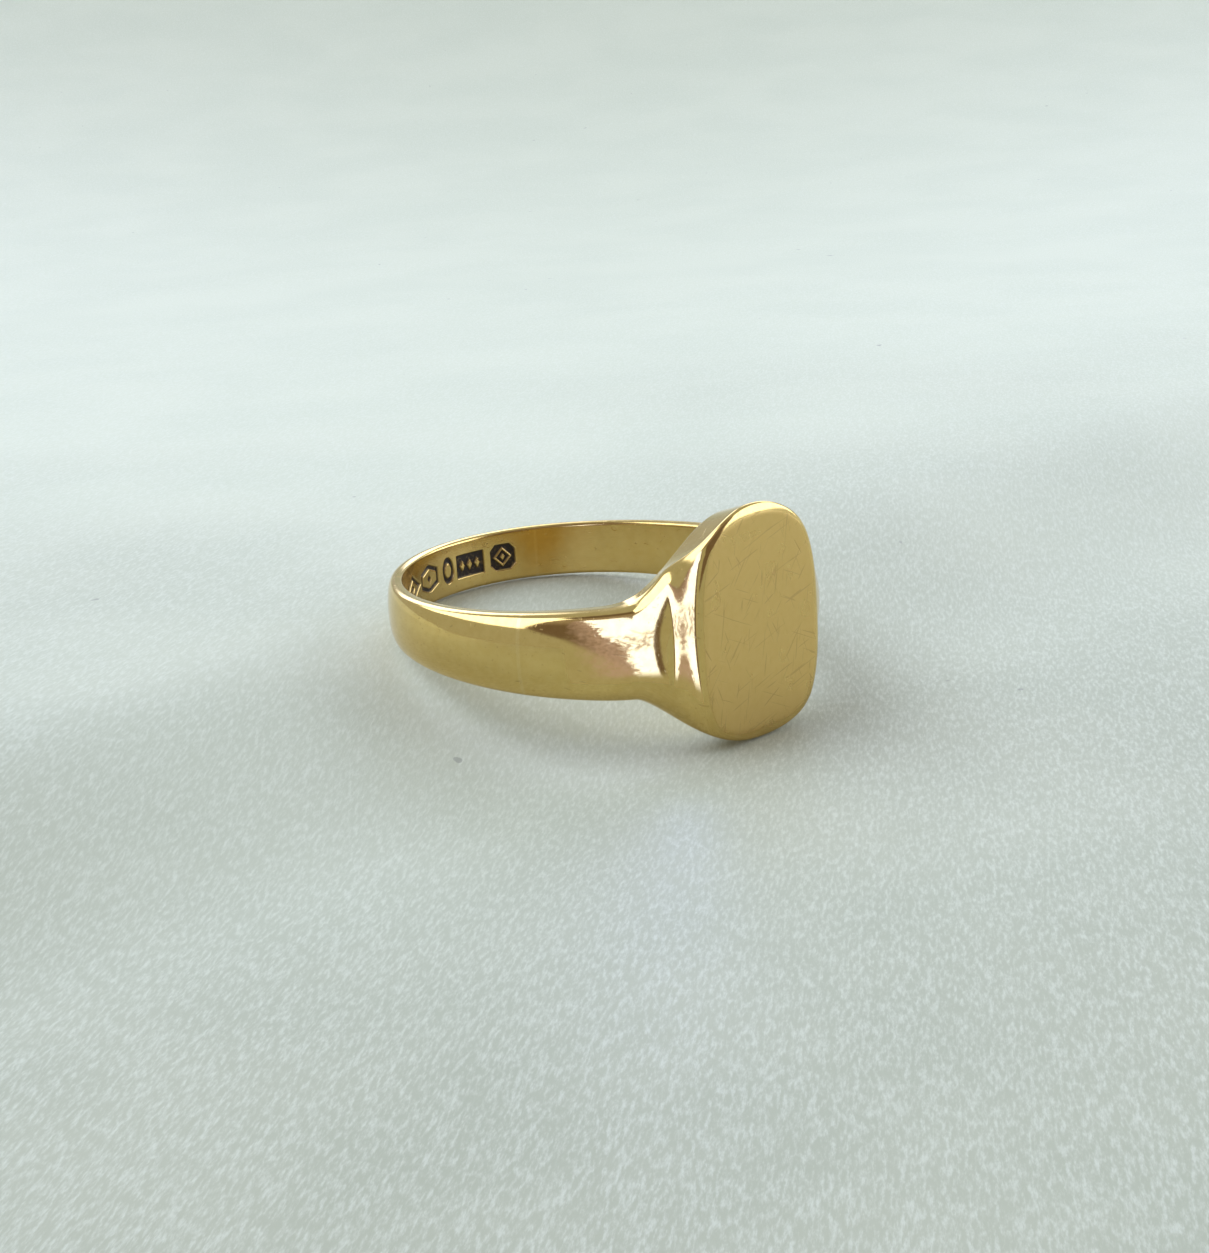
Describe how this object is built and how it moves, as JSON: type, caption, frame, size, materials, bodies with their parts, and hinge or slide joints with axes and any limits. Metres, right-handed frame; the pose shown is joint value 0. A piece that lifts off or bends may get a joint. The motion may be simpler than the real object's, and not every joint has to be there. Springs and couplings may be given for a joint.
{
  "type": "signet ring",
  "caption": "Gold signet ring with a flat cushion-shaped face, scooped shoulders and a domed band that tapers to the back.",
  "frame": {"origin": "centre of the finger bore: on the bore's axis, level with the middle of the signet face", "axes": "+Z along the finger bore, +X out of the signet face, so the ring lies on its side"},
  "size_m": [0.0202, 0.0198, 0.0106],
  "materials": {
    "gold": "polished 9 ct yellow gold, worn, with fine scratches",
    "solder": "gold solder, slightly paler than the gold"
  },
  "bodies": {
    "root": {"signet_head": "gold", "near_shank": "gold", "far_shank": "gold", "near_shoulder_solder": "solder", "far_shoulder_solder": "solder", "closing_solder": "solder"}
  },
  "joints": []
}
